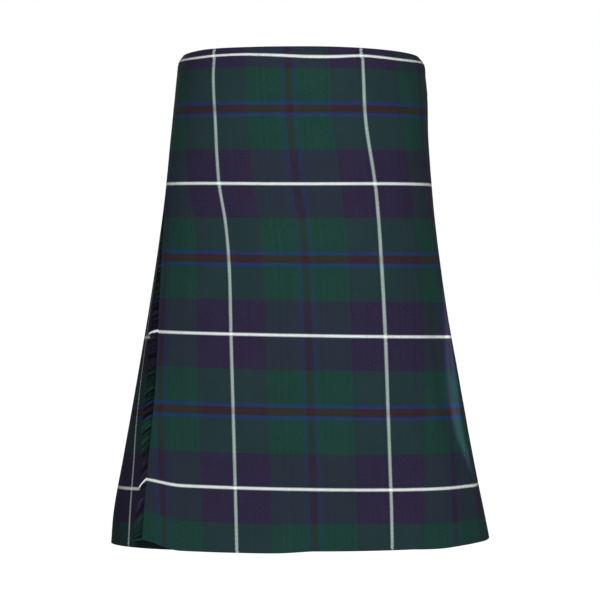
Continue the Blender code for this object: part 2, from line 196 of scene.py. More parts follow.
def outline(level):
    key = round(level, 5)
    if key in outlines:
        return outlines[key]
    row = table(SECTIONS, SECTION_COLUMNS, level)

    def quarter(half, depth, widest, n):
        points = []
        for k in range(QUARTER_STEPS + 1):
            a = 0.5 * math.pi * k / QUARTER_STEPS
            points.append((half * math.sin(a) ** (2.0 / n),
                           widest + (depth - widest) * max(math.cos(a), 0.0) ** (2.0 / n)))
        return points

    fr = quarter(row["right"], -row["front"], row["right_y"], row["n_right"])
    br = quarter(row["right"], row["back"], row["right_y"], row["n_back"])
    bl = quarter(row["left"], row["back"], row["left_y"], row["n_back"])
    fl = quarter(row["left"], -row["front"], row["left_y"], row["n_left"])
    points = [(-x, y) for x, y in fr]
    points += [(-x, y) for x, y in reversed(br)][1:]
    points += [(x, y) for x, y in bl][1:]
    points += [(x, y) for x, y in reversed(fl)][1:]
    run = [0.0]
    for a, b in zip(points, points[1:]):
        run.append(run[-1] + math.hypot(b[0] - a[0], b[1] - a[1]))
    outlines[key] = (points, run)
    return outlines[key]


def girth(level):
    return outline(level)[1][-1]


def plan(q, level):
    points, run = outline(level)
    q = q % run[-1]
    i = min(max(bisect.bisect_right(run, q) - 1, 0), len(points) - 2)
    t = (q - run[i]) / (run[i + 1] - run[i])
    return (points[i][0] + (points[i + 1][0] - points[i][0]) * t,
            points[i][1] + (points[i + 1][1] - points[i][1]) * t)


def rise(q, level):
    turn = 2.0 * math.pi * (q % girth(level)) / girth(level)
    up = RIM_RISE * (1.0 - math.cos(turn)) * (1.0 - smooth((-level - 0.05) / 0.5))
    if level > SEAM:
        up -= RIM_DIP * math.sin(turn) ** 2 * (level - SEAM) / (RIM - SEAM)
    return up


def place(q, depth, level):
    x, y = plan(q, level)
    x0, y0 = plan(q - 0.003, level)
    x1, y1 = plan(q + 0.003, level)
    run = math.hypot(x1 - x0, y1 - y0)
    return (x + (y1 - y0) / run * depth, y - (x1 - x0) / run * depth,
            level + rise(q, level))


@functools.lru_cache(maxsize=None)
def lines(level):
    row = table(LINES, LINE_COLUMNS, level)
    row["apron_q"] = girth(level) - row["apron_fold"]
    row["width"] = (row["apron_q"] - row["first"]) / PLEATS
    row["deep"] = row["fold"] * row["width"]
    row["lean"] = 2.0 * row["pitch"] / row["width"]
    return row


@functools.lru_cache(maxsize=None)
def stripes(level):
    return table(STRIPES, STRIPE_COLUMNS, level)


@functools.lru_cache(maxsize=None)
def tilt(level):
    return table(TILT, TILT_COLUMNS, level)


def curve(rows, x):
    """A smooth curve through a short table of pairs."""
    if x <= rows[0][0]:
        return rows[0][1]
    if x >= rows[-1][0]:
        return rows[-1][1]
    i = max(j for j in range(len(rows) - 1) if rows[j][0] <= x)
    (x0, a), (x1, b) = rows[i], rows[i + 1]
    h, d = x1 - x0, (b - a) / (x1 - x0)
    ma = d if i == 0 else 0.5 * (d + (a - rows[i - 1][1]) / (x0 - rows[i - 1][0]))
    mb = d if i == len(rows) - 2 else 0.5 * (d + (rows[i + 2][1] - b) / (rows[i + 2][0] - x1))
    t = (x - x0) / h
    return ((2 * t ** 3 - 3 * t * t + 1) * a + (t ** 3 - 2 * t * t + t) * h * ma
            + (3 * t * t - 2 * t ** 3) * b + (t ** 3 - t * t) * h * mb)


def offsets(path, half):
    left, right = [], []
    for i, (u, v) in enumerate(path):
        a = path[max(i - 1, 0)]
        b = path[min(i + 1, len(path) - 1)]
        d0 = (u - a[0], v - a[1])
        d1 = (b[0] - u, b[1] - v)
        if i == 0:
            d0 = d1
        if i == len(path) - 1:
            d1 = d0
        l0, l1 = math.hypot(*d0), math.hypot(*d1)
        n0 = (-d0[1] / l0, d0[0] / l0)
        n1 = (-d1[1] / l1, d1[0] / l1)
        m = (n0[0] + n1[0], n0[1] + n1[1])
        k = half * 2.0 / max(m[0] ** 2 + m[1] ** 2, 0.6)
        left.append((u + m[0] * k, v + m[1] * k))
        right.append((u - m[0] * k, v - m[1] * k))
    return left, right


def spread(a, b, count):
    return [a + (b - a) * k / (count - 1) for k in range(count)]


def wander(x, y, seed):
    """Smooth uneven values between about -1 and 1."""
    return noise.noise(Vector((x, y, 7.3 * seed)))


def seam_shift(s, level):
    """The waistband's seam wanders up and down; the cloth below follows."""
    return curve(SEAM_WAVE, s) * (1.0 - smooth((SEAM - level) / 0.030))


def signed(q, level):
    """Distance from the front centre to the wearer's left."""
    return girth(level) - q


# ----------------------------------------------------------------- materials
def group(nodes, links):
    """Small helpers that add nodes to a tree and join them."""
    def add(kind, **sets):
        node = nodes.new(kind)
        for key, value in sets.items():
            setattr(node, key, value)
        return node

    def feed(value, socket):
        if isinstance(value, bpy.types.NodeSocket):
            links.new(value, socket)
        else:
            socket.default_value = value

    def calc(operation, *values):
        node = add("ShaderNodeMath", operation=operation)
        for k, value in enumerate(values):
            feed(value, node.inputs[k])
        return node.outputs[0]
    return add, feed, calc


# Yarn colours, linear
NAVY = (0.0226, 0.0178, 0.0435)
GREEN = (0.0105, 0.0430, 0.0345)
BLUE = (0.0105, 0.0370, 0.1250)
DARK = (0.0330, 0.0180, 0.0160)
WHITE = (0.9000, 0.9500, 0.9300)
WEFT_YARNS = (WHITE, NAVY, GREEN, BLUE, DARK)
WARP_YARNS = ((0.7300, 0.8900, 0.8200), NAVY, GREEN, (0.0105, 0.0355, 0.0860), (0.0250, 0.0165, 0.0180))
# Ends of the half repeat's bands, as parts of half a repeat from the white
# line's middle: navy, green, blue, then dark to the end.
BANDS = (0.4558, 0.8952, 0.9476)
WHITE_PART = (0.0158, 0.0168)         # the white line's half, in warp and weft
TWILL = 0.00295
BEAD = 0.00540                        # beat of the twill along the white warp line
PAINTED_HIGHLIGHT_TINT = (0.095, 0.165, 0.310)        # painted highlight: pale tint where the ridge catches the light


def stripe_ramp(add, white, yarns, dark_mark):
    """The half repeat's bands. Alpha marks the white line, and the dark one."""
    ramp = add("ShaderNodeValToRGB")
    ramp.color_ramp.interpolation = "CONSTANT"
    stops = tuple(zip((0.0, white) + BANDS, yarns))
    marks = ramp.color_ramp.elements
    while len(marks) < len(stops):
        marks.new(0.5)
    for k, (at, colour) in enumerate(stops):
        marks[k].position = at
        marks[k].color = (*colour, {0: 1.0, 4: dark_mark}.get(k, 0.0))
    return ramp


def tartan(name, threads=False, edge_shade=False):
    """Woollen twill. The cloth map holds metres across and down the cloth,
    with both white lines at 0. For threads only the weft's colour counts."""
    mat = bpy.data.materials.new(name)
    mat.use_nodes = True
    tree = mat.node_tree
    links = tree.links
    add, feed, calc = group(tree.nodes, links)
    shader = tree.nodes["Principled BSDF"]
    uv = add("ShaderNodeUVMap", uv_map="cloth")
    parts = add("ShaderNodeSeparateXYZ")
    links.new(uv.outputs[0], parts.inputs[0])
    u, v = parts.outputs[0], parts.outputs[1]

    # 2/2 twill: diagonal ribs where the weft floats over the warp. The floats
    # also serrate the edges of the bands.
    rib = calc("SINE", calc("MULTIPLY", calc("ADD", u, v), 2.0 * math.pi / TWILL))
    bead = calc("SINE", calc("MULTIPLY", calc("ADD", calc("MULTIPLY", u, 0.5), v), 2.0 * math.pi / BEAD))
    weft_at = calc("DIVIDE", calc("PINGPONG", v, SETT_V / 2), SETT_V / 2)
    if not threads:
        weft_at = calc("ABSOLUTE", calc("ADD", weft_at, calc("MULTIPLY", rib, 0.0070)))
    weft = stripe_ramp(add, WHITE_PART[1], WEFT_YARNS, 0.7)
    links.new(weft_at, weft.inputs[0])

    warp_noise = add("ShaderNodeTexNoise", noise_dimensions="1D")
    links.new(calc("MULTIPLY", u, 1500.0), warp_noise.inputs["W"])
    warp_noise.inputs["Scale"].default_value = 1.0
    warp_noise.inputs["Detail"].default_value = 1.0
    weft_noise = add("ShaderNodeTexNoise", noise_dimensions="1D")
    links.new(calc("MULTIPLY", v, 1500.0), weft_noise.inputs["W"])
    weft_noise.inputs["Scale"].default_value = 1.0
    weft_noise.inputs["Detail"].default_value = 1.0
    fuzz = add("ShaderNodeTexNoise", noise_dimensions="2D")
    links.new(uv.outputs[0], fuzz.inputs["Vector"])
    fuzz.inputs["Scale"].default_value = 1100.0
    fuzz.inputs["Detail"].default_value = 2.0
    fleck = add("ShaderNodeTexNoise", noise_dimensions="2D")
    links.new(uv.outputs[0], fleck.inputs["Vector"])
    fleck.inputs["Scale"].default_value = 430.0
    fleck.inputs["Detail"].default_value = 1.0
    slub = add("ShaderNodeTexNoise", noise_dimensions="1D")
    links.new(calc("MULTIPLY", u, 240.0), slub.inputs["W"])
    slub.inputs["Scale"].default_value = 1.0
    slub.inputs["Detail"].default_value = 3.0
    patch = add("ShaderNodeTexNoise", noise_dimensions="2D")
    links.new(uv.outputs[0], patch.inputs["Vector"])
    patch.inputs["Scale"].default_value = 26.0
    patch.inputs["Detail"].default_value = 3.0

    def centred(noise_out, amount):
        return calc("MULTIPLY", calc("SUBTRACT", noise_out, 0.5), amount)

    if threads:
        mixed = weft.outputs[0]
        value = calc("ADD", 1.0, centred(weft_noise.outputs[0], 0.9))
        height = fuzz.outputs[0]
    else:
        warp_at = calc("DIVIDE", calc("PINGPONG", u, SETT_U / 2), SETT_U / 2)
        warp_at = calc("ADD", warp_at, calc("MULTIPLY", bead, 0.0040))
        warp = stripe_ramp(add, WHITE_PART[0], WARP_YARNS, 0.0)
        links.new(warp_at, warp.inputs[0])
        over = calc("MINIMUM", calc("MAXIMUM", calc("MULTIPLY", rib, 1.7), -1.0), 1.0)
        share = calc("ADD", 0.62, calc("MULTIPLY", over, 0.38))
        share = calc("ADD", share, calc("MULTIPLY", weft.outputs[1], 0.22))
        share = calc("ADD", share, calc("MULTIPLY", calc("MULTIPLY", warp.outputs[1], bead), 0.09))
        # where both yarns are white the crossing is all white
        mix = add("ShaderNodeMix", data_type="RGBA")
        mix.clamp_factor = True
        feed(share, mix.inputs[0])
        links.new(warp.outputs[0], mix.inputs[6])
        links.new(weft.outputs[0], mix.inputs[7])
        mixed = mix.outputs[2]
        value = calc("ADD", 1.0, centred(warp_noise.outputs[0], 0.34))
        value = calc("ADD", value, centred(weft_noise.outputs[0], 0.34))
        value = calc("ADD", value, centred(fleck.outputs[0], 0.46))
        value = calc("ADD", value, centred(slub.outputs[0], 0.24))
        height = calc("ADD", calc("MULTIPLY", calc("ABSOLUTE", rib), 0.7),
                      calc("MULTIPLY", fuzz.outputs[0], 0.6))
    value = calc("ADD", value, centred(fuzz.outputs[0], 0.40))
    value = calc("ADD", value, centred(patch.outputs[0], 0.20))
    # On the fringe's threads the 'shade' attribute scales the colour: painted light and shade on the tufts, and
    # painted shade at their roots.
    if edge_shade:
        shade = add("ShaderNodeAttribute", attribute_name="shade")
        value = calc("MULTIPLY", value, shade.outputs["Fac"])
    tone = add("ShaderNodeHueSaturation")
    links.new(mixed, tone.inputs["Color"])
    feed(value, tone.inputs["Value"])
    if threads:
        links.new(tone.outputs[0], shader.inputs["Base Color"])
    else:
        # The 'shade' attribute paints light and shade into the cloth's colour. Below 0 it darkens the colour:
        # painted shade under the outer apron and the fringe. Above 0 it mixes in a brightened pale tint:
        # painted highlight along the ridge, and on the fold edges a lighter line that is partly rub wear and
        # partly painted highlight.
        painted_light_shade_and_rub = add("ShaderNodeAttribute", attribute_name="shade")
        flat = calc("ADD", 1.0, calc("MINIMUM", painted_light_shade_and_rub.outputs["Fac"], 0.0))
        feed(calc("MULTIPLY", value, flat), tone.inputs["Value"])
        light = add("ShaderNodeHueSaturation")
        light.inputs["Saturation"].default_value = 1.0
        light.inputs["Value"].default_value = 4.4
        links.new(mixed, light.inputs["Color"])
        highlight_tint_mix = add("ShaderNodeMix", data_type="RGBA")
        highlight_tint_mix.inputs[0].default_value = 0.38
        links.new(light.outputs[0], highlight_tint_mix.inputs[6])
        highlight_tint_mix.inputs[7].default_value = (*PAINTED_HIGHLIGHT_TINT, 1.0)
        painted_highlight_mix = add("ShaderNodeMix", data_type="RGBA")
        painted_highlight_mix.clamp_factor = True
        feed(calc("MULTIPLY", painted_light_shade_and_rub.outputs["Fac"], 0.60), painted_highlight_mix.inputs[0])
        links.new(tone.outputs[0], painted_highlight_mix.inputs[6])
        links.new(highlight_tint_mix.outputs[2], painted_highlight_mix.inputs[7])
        links.new(painted_highlight_mix.outputs[2], shader.inputs["Base Color"])
    bump = add("ShaderNodeBump")
    bump.inputs["Strength"].default_value = 0.35
    bump.inputs["Distance"].default_value = 0.00020
    feed(height, bump.inputs["Height"])
    links.new(bump.outputs[0], shader.inputs["Normal"])
    shader.inputs["Roughness"].default_value = 0.92
    shader.inputs["Specular IOR Level"].default_value = 0.10
    shader.inputs["Sheen Weight"].default_value = 0.015
    shader.inputs["Sheen Roughness"].default_value = 0.45
    return mat


def leather(name, colour, rough):
    mat = bpy.data.materials.new(name)
    mat.use_nodes = True
    tree = mat.node_tree
    add, feed, calc = group(tree.nodes, tree.links)
    shader = tree.nodes["Principled BSDF"]
    coords = add("ShaderNodeTexCoord")
    grain = add("ShaderNodeTexVoronoi", feature="SMOOTH_F1")
    grain.inputs["Scale"].default_value = 900.0
    tree.links.new(coords.outputs["Object"], grain.inputs["Vector"])
    cloud = add("ShaderNodeTexNoise")
    cloud.inputs["Scale"].default_value = 55.0
    cloud.inputs["Detail"].default_value = 4.0
    tree.links.new(coords.outputs["Object"], cloud.inputs["Vector"])
    ramp = add("ShaderNodeValToRGB")
    ramp.color_ramp.elements[0].color = (*[c * 0.7 for c in colour], 1)
    ramp.color_ramp.elements[1].color = (*[c * 1.5 for c in colour], 1)
    tree.links.new(cloud.outputs[0], ramp.inputs[0])
    tree.links.new(ramp.outputs[0], shader.inputs["Base Color"])
    shine = calc("ADD", rough, calc("MULTIPLY", calc("SUBTRACT", cloud.outputs[0], 0.5), 0.25))
    feed(shine, shader.inputs["Roughness"])
    bump = add("ShaderNodeBump")
    bump.inputs["Strength"].default_value = 0.30
    bump.inputs["Distance"].default_value = 0.00015
    tree.links.new(grain.outputs[0], bump.inputs["Height"])
    tree.links.new(bump.outputs[0], shader.inputs["Normal"])
    return mat


def metal(name):
    mat = bpy.data.materials.new(name)
    mat.use_nodes = True
    tree = mat.node_tree
    add, feed, calc = group(tree.nodes, tree.links)
    shader = tree.nodes["Principled BSDF"]
    shader.inputs["Base Color"].default_value = (0.62, 0.61, 0.58, 1)
    shader.inputs["Metallic"].default_value = 1.0
    coords = add("ShaderNodeTexCoord")
    marks = add("ShaderNodeTexNoise")
    marks.inputs["Scale"].default_value = 400.0
    marks.inputs["Detail"].default_value = 3.0
    tree.links.new(coords.outputs["Object"], marks.inputs["Vector"])
    feed(calc("ADD", 0.14, calc("MULTIPLY", marks.outputs[0], 0.20)), shader.inputs["Roughness"])
    return mat


def plain(name, colour, rough):
    mat = bpy.data.materials.new(name)
    mat.use_nodes = True
    shader = mat.node_tree.nodes["Principled BSDF"]
    shader.inputs["Base Color"].default_value = (*colour, 1)
    shader.inputs["Roughness"].default_value = rough
    return mat


# -------------------------------------------------------------------- meshes
def make(name, points, faces, mat, cloth=None, shade=None, sharp=50.0):
    mesh = bpy.data.meshes.new(name)
    mesh.from_pydata(points, [], faces)
    bm = bmesh.new()
    bm.from_mesh(mesh)
    bmesh.ops.recalc_face_normals(bm, faces=bm.faces)
    bm.to_mesh(mesh)
    bm.free()
    if cloth is not None:
        layer = mesh.uv_layers.new(name="cloth")
        corners = np.empty(len(mesh.loops), dtype=np.int32)
        mesh.loops.foreach_get("vertex_index", corners)
        layer.data.foreach_set("uv", np.asarray(cloth, dtype=np.float32)[corners].ravel())
    if shade is not None:
        attribute = mesh.attributes.new("shade", "FLOAT", "POINT")
        attribute.data.foreach_set("value", np.asarray(shade, dtype=np.float32))
    mesh.polygons.foreach_set("use_smooth", [True] * len(mesh.polygons))
    mesh.set_sharp_from_angle(angle=math.radians(sharp))
    mesh.materials.append(mat)
    obj = bpy.data.objects.new(name, mesh)
    bpy.context.scene.collection.objects.link(obj)
    return obj


def shell(name, levels, path_at, mat, half=CLOTH / 2, lift=None, behind=0.0):
    """A closed cloth shell. path_at(level) gives (q, depth, u, v, and a fifth value)
    along it; the fifth value paints light and shade into the colour: above 0 a painted highlight, below 0
    painted shade.
    Its top edge goes up behind the waistband by the length behind, where it lies further in than that."""
    points, cloth, faces, painted_light_shade_and_rub_values = [], [], [], []
    count = None
    for level in levels:
        path = path_at(level)
        count = len(path)
        for side in offsets([p[:2] for p in path], half):
            for (q, depth), (_, middle, u, v, painted_light_shade_and_rub) in zip(side, path):
                x, y, z = place(q, depth, level)
                if level > levels[0] - 1e-6:
                    z += behind * smooth((middle - BAND - 0.0007) / 0.0002)
                if lift:
                    z += lift(q, level)
                points.append((x, y, z))
                cloth.append((u, v))
                painted_light_shade_and_rub_values.append(painted_light_shade_and_rub)
    ring = 2 * count

    def at(k, side, i):
        return k * ring + side * count + i

    for k in range(len(levels) - 1):
        for i in range(count - 1):
            for side in (0, 1):
                faces.append((at(k, side, i), at(k, side, i + 1),
                              at(k + 1, side, i + 1), at(k + 1, side, i)))
        for i in (0, count - 1):
            faces.append((at(k, 0, i), at(k, 1, i), at(k + 1, 1, i), at(k + 1, 0, i)))
    for k in (0, len(levels) - 1):
        for i in range(count - 1):
            faces.append((at(k, 0, i), at(k, 0, i + 1), at(k, 1, i + 1), at(k, 1, i)))
    return make(name, points, faces, mat, cloth, painted_light_shade_and_rub_values)


def path_length(path):
    return sum(math.hypot(b[0] - a[0], b[1] - a[1]) for a, b in zip(path, path[1:]))


# --------------------------------------------------------------- outer apron
def apron_uv(s, level):
    """Where a place on the apron lies in the tartan."""
    row = stripes(level)
    marks = [row[name] for name in STRIPE_COLUMNS[1:]]
    k = sum(s > mark for mark in marks[1:-1])
    part = (s - marks[k]) / (marks[k + 1] - marks[k])
    u = (STRIPE_AT[k] + part * (STRIPE_AT[k + 1] - STRIPE_AT[k])) * SETT_U / 2
    t = tilt(level)
    v = -level + t["shift"] + t["slope"] * s + t["bend"] * s * s
    return u, v + WHITE_LEVEL


def bump_at(x, centre, width):
    return math.exp(-((x - centre) / width) ** 2)


def ridge(s, level):
    row = table(RIDGE, RIDGE_COLUMNS, level)
    top = bump_at(s, row["at"], 0.013)
    low = bump_at(s, row["at"] - 0.030, 0.015)
    return row["height"] * top - row["trough"] * low


# Small creases in the apron: level where strongest, its half length, distance
# from the front centre, how far that moves per metre down, half width, height
CREASES = (
    (-0.556, 0.030, 0.0925, -0.040, 0.0022, -0.00045),
    (-0.575, 0.045, 0.1780, 0.060, 0.0030, 0.00055),
    (-0.590, 0.022, -0.1490, 0.000, 0.0022, 0.00040),
    (-0.108, 0.012, -0.1700, 1.400, 0.0030, -0.00050),
    (-0.240, 0.080, -0.1500, 0.080, 0.0100, 0.00060),
    (-0.420, 0.110, -0.1250, 0.060, 0.0140, -0.00070),
    (-0.470, 0.100, -0.0300, 0.040, 0.0160, 0.00060),
    (-0.500, 0.090, 0.0500, 0.050, 0.0140, -0.00050),
    (-0.340, 0.120, 0.1450, 0.100, 0.0120, -0.00060),
)


def relief(s, level):
    """How far the apron's face stands out of its plain form."""
    out = ridge(s, level)
    for at, reach, where, drift, width, height in CREASES:
        if abs(level - at) < 3.0 * reach:
            centre = where + drift * (at - level)
            out += height * bump_at(s, centre, width) * bump_at(level, at, reach)
    slack = smooth((-level - 0.06) / 0.5)
    out += 0.00075 * slack * wander(s * 14.0, level * 3.5, 1)
    out += 0.00022 * wander(s * 45.0, level * 30.0, 2)
    return out


# Painted highlight along the ridge, where a side light catches it: level, distance from
# the front centre, half width, strength
PAINTED_HIGHLIGHT_COLUMNS = ("level", "at", "half", "strength")
PAINTED_HIGHLIGHT = (
    (-0.285, .2095, .0055, .00),
    (-0.305, .2115, .0080, .70),
    (-0.329, .2130, .0105, 1.05),
    (-0.354, .2112, .0115, 1.05),
    (-0.384, .2095, .0120, .85),
    (-0.402, .2100, .0120, .80),
    (-0.427, .2098, .0110, .75),
    (-0.445, .2112, .0095, .78),
    (-0.460, .2135, .0085, .80),
    (-0.476, .2180, .0070, .85),
    (-0.491, .2245, .0060, .75),
    (-0.507, .2310, .0052, .50),
    (-0.521, .2380, .0045, .20),
    (-0.545, .2420, .0040, .00),
)


def painted_highlight(s, level):
    if level > PAINTED_HIGHLIGHT[0][0] or level < PAINTED_HIGHLIGHT[-1][0]:
        return 0.0
    row = table(PAINTED_HIGHLIGHT, PAINTED_HIGHLIGHT_COLUMNS, level)
    x = abs(s - row["at"]) / row["half"]
    # uneven streaks in the painted highlight
    streak = 0.85 + 0.45 * wander(s * 420.0, level * 14.0, 9)
    return max(row["strength"], 0.0) * (1.0 - smooth((x - 0.35) / 0.85)) * streak


def corner_lift(q, level):
    out = smooth((q - girth(level) - 0.148) / 0.052)
    return CORNER_LIFT * out * smooth((-level - 0.45) / 0.153)


def hem_shift(s, level):
    return curve(HEM_WAVE, s) * smooth((-level - 0.52) / 0.083)


def fold_arc(q0, pitch, base, steps=6):
    """A knife edge: half a turn from the inner layer to the outer one."""
    out = []
    for k in range(steps + 1):
        w = math.pi * k / steps
        out.append((q0 + 0.55 * pitch * (1.0 - math.sin(w)),
                    base + pitch * 0.5 * (1.0 + math.cos(w))))
    return out


def apron_path(level):
    row = lines(level)
    pitch, deep, q0 = row["pitch"], row["deep"], row["apron_q"]
    fold_s = row["apron_fold"]
    path = []
    for q in spread(q0 + deep, q0 + 0.8 * pitch, 7):
        path.append((q, CLOTH / 2 + pitch, *apron_uv(fold_s + (q - q0), level), 0.0))
    for q, depth in fold_arc(q0, pitch, CLOTH / 2):
        # the fold edge is lighter: partly a rubbed line of wear, partly painted highlight
        path.append((q, depth, *apron_uv(fold_s, level), 0.12))
    end = girth(level) + row["edge"]
    # along the ridge the fifth value paints a highlight into the colour
    for q in spread(q0 + 0.9 * pitch, end, 150):
        s = signed(q, level)
        depth = CLOTH / 2 - relief(s, level) * smooth((q - q0) / 0.006)
        path.append((q, depth, *apron_uv(s, level), painted_highlight(s, level)))
    return path


def front_lift(q, level):
    s = signed(q, level)
    return corner_lift(q, level) + hem_shift(s, level) + seam_shift(s, level)


TOP = SEAM - SEAM_GAP
cloth_mat = tartan("tartan_twill")
apron_levels = spread(TOP, -0.040, 8)[:-1] + spread(-0.040, -0.480, 62)[:-1] + spread(-0.480, HEM, 28)
apron = shell("outer_apron_cloth", apron_levels, apron_path, cloth_mat, lift=front_lift)
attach(apron, "root")
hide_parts("outer_apron")


# --------------------------------------------------------------- under apron
def under_uv(s, level):
    x = s + 0.2235 - 0.0022 * smooth((-level - 0.45) / 0.06)
    x *= 1.0 + 0.5 * bump_at(x, 0.0, 0.02)
    return (x, -level - 0.0058 + 0.037 * min(s + 0.2124, 0.0) + WHITE_LEVEL)


def under_depth(q, row):
    edge, first, width = row["edge"], row["first"], row["width"]
    inside = 0.0042 + 0.0016 * smooth((-row["level"] - 0.05) / 0.4)
    close = 0.0030 - 0.0004 * smooth((-row["level"] - 0.02) / 0.1)
    depth = inside + (close - inside) * smooth((q - (edge - 0.09)) / 0.075)
    start = first - width
    if q > start:
        depth += (2.0 * row["pitch"] + CLOTH / 2 - depth) * smooth((q - start) / width)
    return depth


def under_path(level):
    row = lines(level)
    share = (level - TOP) / (HEM - TOP)
    end = -(UNDER_END[0] + (UNDER_END[1] - UNDER_END[0]) * share)
    path = []
    for q in spread(end, row["first"], 96):
        s = -q
        slack = smooth((-level - 0.06) / 0.5)
        free = 1.0 - smooth((q - row["edge"] + 0.03) / 0.03)
        depth = under_depth(q, row) + 0.0007 * slack * free * wander(s * 12.0, level * 4.0, 5)
        # Painted shade on the under apron: its colour goes down to 0.62 on the strip that shows at the side,
        # and to 0.20 near the apron's edge under the fringe.
        shade = 0.38 + 0.42 * (1.0 - smooth((q - row["edge"] - 0.0085) / 0.004))
        path.append((q, depth, *under_uv(s, level), -shade * smooth((q - row["edge"] + 0.06) / 0.03)))
    base = 2.0 * row["pitch"] + CLOTH / 2
    for part in (0.33, 0.66, 1.0):
        q = row["first"] + row["deep"] * part
        # painted shade here too
        path.append((q, base + row["lean"] * row["deep"] * part, *under_uv(-q, level), -0.38))
    return path


under = shell("under_apron_cloth", spread(TOP, HEM, 80), under_path, cloth_mat)
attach(under, "root")
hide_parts("under_apron")


# -------------------------------------------------------------------- pleats
FELL = -0.200                     # the pleats are sewn down to here
HIP_WIDTH = lines(FELL)["width"]
PLEAT_WAYS = [(RNG.uniform(-1, 1), RNG.uniform(-1, 1), RNG.uniform(-1, 1)) for _ in range(PLEATS + 1)]


def pleat_u(k, along, level):
    """Across the tartan on pleat k, along from its fold edge. Down to the
    hips the pleats are taken in on both sides, below they hang on one thread."""
    taper = 0.5 * max(HIP_WIDTH - lines(level)["width"], 0.0)
    return -(k * HIP_WIDTH + taper + along) + 0.061


def pleat_path(level):
    row = lines(level)
    pitch, deep, width, lean = row["pitch"], row["deep"], row["width"], row["lean"]
    v = -level + WHITE_LEVEL
    free = smooth((FELL - level) / 0.36)
    path = []

    def add(q0, along, layer, u, out=0.0):
        path.append((q0 + along, CLOTH / 2 + layer * pitch + lean * along - out, u, v, 0.0))

    for k in range(PLEATS):
        way, way2, way3 = PLEAT_WAYS[k]
        sway = 0.0011 * free * way * smooth((FELL - level) / 0.3)
        q0 = row["first"] + k * width + (sway if k else 0.0)
        if k > 0:
            for part in (0.08, 0.35, 0.68, 1.0):
                add(q0, part * deep, 2.0, pleat_u(k - 1, width + part * deep, level))
        for part in (1.0, 0.68, 0.35, 0.10):
            add(q0, part * deep, 1.0, pleat_u(k, -part * deep, level))
        for q, depth in fold_arc(q0, pitch, CLOTH / 2, 5):
            # the fold edge is lighter: partly a rubbed line of wear, partly painted highlight
            path.append((q, depth + lean * (q - q0), pleat_u(k, 0.0, level), v, 0.10))
        belly = 0.0008 * free * (1.0 + 0.4 * way2)
        stop = width * (1.0 if k < PLEATS - 1 else row["fold"])
        for part in (0.10, 0.20, 0.32, 0.46, 0.60, 0.74, 0.88, 1.0):
            out = belly * math.sin(math.pi * min(part * 1.05, 1.0)) * (1.0 if part < 0.9 else 0.0)
            out += 0.00018 * free * wander(k * 3.1 + part * 2.0, level * 16.0, 8) * (part < 0.9)
            add(q0, part * stop, 0.0, pleat_u(k, part * stop, level), out)
    last = row["apron_q"]
    for part in (0.0, 0.35, 0.68, 1.0):
        add(last, part * deep, 2.0, pleat_u(PLEATS - 1, width + part * deep, level))
    return path


pleat_levels = spread(TOP, FELL, 20)[:-1] + spread(FELL, HEM, 48)
pleats = shell("pleated_back_cloth", pleat_levels, pleat_path, cloth_mat, behind=0.0032)
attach(pleats, "root")
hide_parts("pleated_back")


# ----------------------------------------------------------------- waistband
def band_depth(q):
    edge = LINES[0][1]
    return 0.0031 * (1.0 - smooth((q - (edge + 0.014)) / 0.030))


def waistband():
    length = girth(SEAM)
    stations = spread(-UNDER_END[0], length + LINES[0][1], 330)
    low, high = SEAM, RIM
    turn = 0.5 * BAND
    profile = [(0.00035, low), (0.0, low + 0.0006), (-0.0001, low + 0.0035), (0.0, low + 0.0070)]
    profile += [(0.0, high - turn - 0.0016)]
    for k in range(1, 8):
        w = math.pi * k / 8
        profile.append((turn - turn * math.cos(w), high - turn + turn * math.sin(w)))
    profile += [(BAND, high - turn - 0.0016), (BAND, low + 0.0035), (BAND - 0.0001, low - 0.0002)]
    along, down = [], [0.0]
    for a, b in zip(profile, profile[1:]):
        down.append(down[-1] + math.hypot(b[0] - a[0], b[1] - a[1]))
    points, cloth, faces = [], [], []
    for q in stations:
        s = length - q
        shift = curve(SEAM_WAVE, s) if abs(s) < 0.24 else 0.0
        rim_shift = curve(RIM_WAVE, s) if abs(s) < 0.24 else 0.0
        for (depth, level), d in zip(profile, down):
            share = q / length
            x, y, z = place(share * girth(level), band_depth(q) + depth
                            - 0.00018 * wander(q * 60.0, d * 120.0, 4), level)
            near = 1.0 - smooth((level - low) / (high - low))
            points.append((x, y, z + shift * near + rim_shift * (1.0 - near)))
            here = s * girth(level) / length
            across, _ = apron_uv(here, SEAM) if abs(s) < 0.26 else (s + 0.1134, 0.0)
            cloth.append((across + 0.0018, -d + 0.00225))
    n = len(profile)
    for i in range(len(stations) - 1):
        for j in range(n):
            a, b = i * n + j, i * n + (j + 1) % n
            faces.append((a, b, b + n, a + n))
    end = (len(stations) - 1) * n
    faces += [tuple(range(n)), tuple(range(end, end + n))]
    obj = make("waistband_cloth", points, faces, cloth_mat, cloth, [0.0] * len(points))
    return obj


band = waistband()
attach(band, "root")
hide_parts("waistband")


# -------------------------------------------------------------------- fringe
def tube(points, faces, line, radii, sides):
    """Adds a thin round thread along a line of points."""
    base = len(points)
    for i, p in enumerate(line):
        a = line[max(i - 1, 0)]
        b = line[min(i + 1, len(line) - 1)]
        d = (b - a).normalized()
        one = d.cross(Vector((0.3, 0.9, 0.2))).normalized()
        two = d.cross(one)
        for k in range(sides):
            w = 2.0 * math.pi * k / sides
            points.append(p + radii[i] * (math.cos(w) * one + math.sin(w) * two))
    for i in range(len(line) - 1):
        for k in range(sides):
            a, b = base + i * sides + k, base + i * sides + (k + 1) % sides
            faces.append((a, b, b + sides, a + sides))
    faces.append(tuple(base + k for k in reversed(range(sides))))
    last = base + (len(line) - 1) * sides
    faces.append(tuple(last + k for k in range(sides)))
    return len(points) - base


